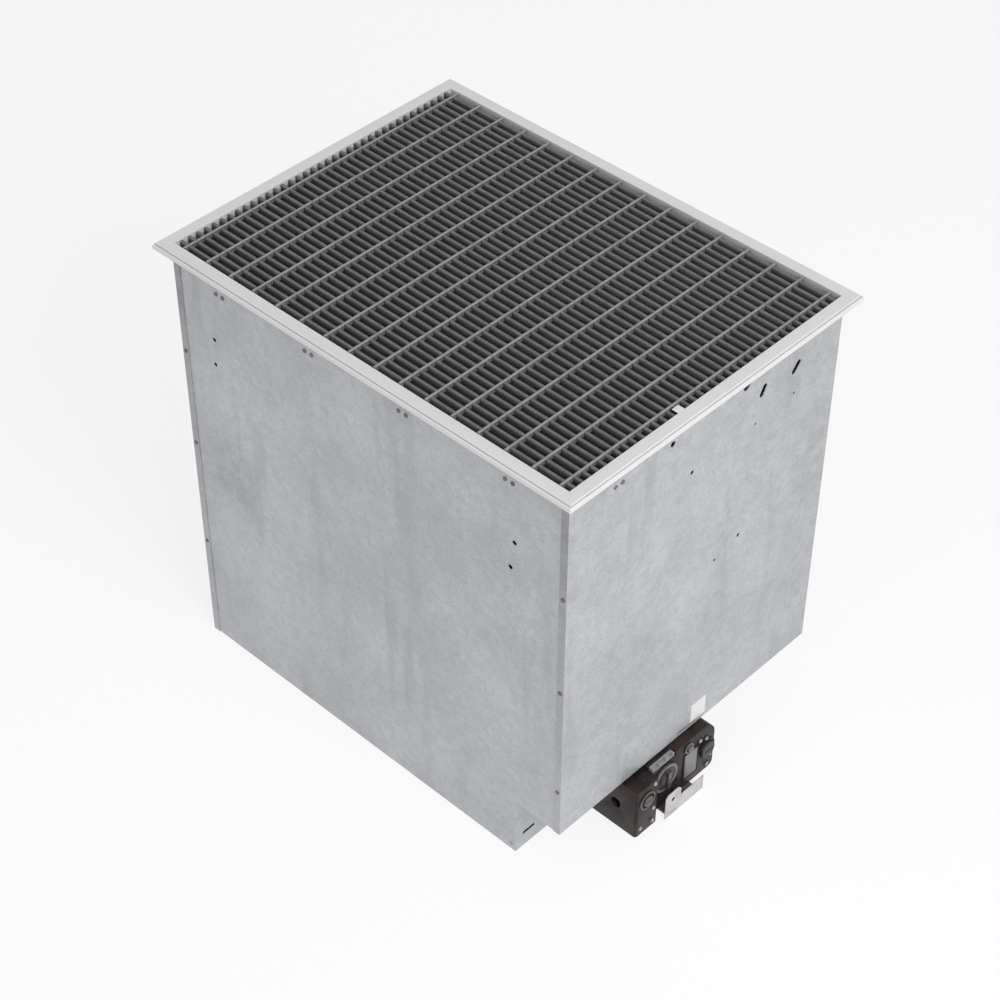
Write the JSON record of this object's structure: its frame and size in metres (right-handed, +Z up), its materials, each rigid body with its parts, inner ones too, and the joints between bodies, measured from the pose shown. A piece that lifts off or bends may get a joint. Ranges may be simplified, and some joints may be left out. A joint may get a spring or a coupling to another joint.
{
  "type": "gas floor heater",
  "caption": "Gas floor furnace in a sheet metal casing that hangs in a floor opening from its flange, with a lift-out bar grating and a gas control in a recess at one end.",
  "frame": {"origin": "centre of the casing in plan, at the underside of the bottom pan", "axes": "+Z up, +X towards the control end along the long side, -Y towards the long side with the gas inlet"},
  "size_m": [0.8289, 0.6096, 0.787],
  "materials": {
    "galvanised_sheet": "galvanised, dull, faintly stained",
    "flange_paint": "satin light coat",
    "zinc_fixings": "zinc plated",
    "dark_grating": "worn dark coat",
    "bright_cross_bar": "rubbed bright",
    "chamber_steel": "heat dulled",
    "burner_steel": "heat marked",
    "brass": "machined",
    "soft_aluminium_tube": "drawn",
    "copper_lead": "drawn copper",
    "seal_fibre": "pressed fibre",
    "dark_casting": "dark coated die casting",
    "bare_plate": "matt, bare of words",
    "pale_plastic": "moulded",
    "dark_plastic": "moulded",
    "button_plastic": "moulded"
  },
  "bodies": {
    "casing": {"side_panel_left": "galvanised_sheet", "side_panel_right": "galvanised_sheet", "control_end_panel": "galvanised_sheet", "flue_end_panel": "galvanised_sheet", "recess_wall": "galvanised_sheet", "recess_shelf": "galvanised_sheet", "bottom_pan": "galvanised_sheet", "floor_flange": "flange_paint", "grille_ledge": "galvanised_sheet", "corner_screws": "zinc_fixings", "flange_rivets": "zinc_fixings", "blank_plate": "zinc_fixings", "liner_left": "galvanised_sheet", "liner_right": "galvanised_sheet", "liner_control_end": "galvanised_sheet", "liner_flue_end": "galvanised_sheet", "liner_spacers": "galvanised_sheet", "chamber_shell": "chamber_steel", "chamber_front_plate": "chamber_steel", "chamber_back_plate": "chamber_steel", "burner_throat": "chamber_steel", "chamber_feet": "galvanised_sheet", "chamber_baffle": "chamber_steel", "flue_neck": "chamber_steel", "draft_diverter": "chamber_steel", "flue_collar": "galvanised_sheet", "burner_tube": "burner_steel", "venturi": "burner_steel", "burner_support": "burner_steel", "burner_plate": "burner_steel", "burner_plate_gasket": "seal_fibre", "burner_plate_screws": "zinc_fixings", "venturi_sleeve_ring": "burner_steel", "orifice_holder": "brass", "manifold_nipple": "burner_steel", "pilot_bracket": "burner_steel", "pilot_burner": "burner_steel", "pilot_tube": "soft_aluminium_tube", "thermopile": "burner_steel", "thermopile_lead": "copper_lead", "valve_body": "dark_casting", "valve_nameplate": "bare_plate", "regulator_cap": "dark_casting", "terminal_block": "pale_plastic", "pressure_tap_plug": "brass", "valve_bracket": "galvanised_sheet", "valve_screws": "zinc_fixings", "limit_switch": "dark_plastic", "limit_switch_lead": "dark_plastic", "lighter_tube": "chamber_steel", "lighter_cover_pin": "zinc_fixings"},
    "grating": {"grille_bars": "dark_grating", "grille_cross_bars": "bright_cross_bar", "grille_lift_tab": "zinc_fixings"},
    "gas_cock": {"gas_cock_dial": "dark_plastic", "dial_pointer": "pale_plastic"},
    "pilot_button": {"reset_button": "button_plastic"},
    "shutter": {"air_shutter": "burner_steel"},
    "tube_lid": {"lighter_cover": "chamber_steel"}
  },
  "joints": [
    {"name": "grille_lift", "type": "slide", "parent": "casing", "child": "grating", "axis": [0, 0, 1], "range_m": [0, 0.45]},
    {"name": "gas_cock_turn", "type": "hinge", "parent": "casing", "child": "gas_cock", "pos_m": [0.402, -0.064, 0.069], "axis": [1, 0, 0], "range_deg": [0, 180]},
    {"name": "pilot_button_press", "type": "slide", "parent": "casing", "child": "pilot_button", "axis": [-1, 0, 0], "range_m": [0, 0.005], "stiffness_N_per_m": 800},
    {"name": "air_shutter_turn", "type": "hinge", "parent": "casing", "child": "shutter", "pos_m": [0.3115, 0, 0.066], "axis": [1, 0, 0], "range_deg": [0, 50]},
    {"name": "lighter_cover_swing", "type": "hinge", "parent": "casing", "child": "tube_lid", "pos_m": [0.219, 0, 0.7475], "axis": [0, 0, 1], "range_deg": [0, 100]}
  ]
}
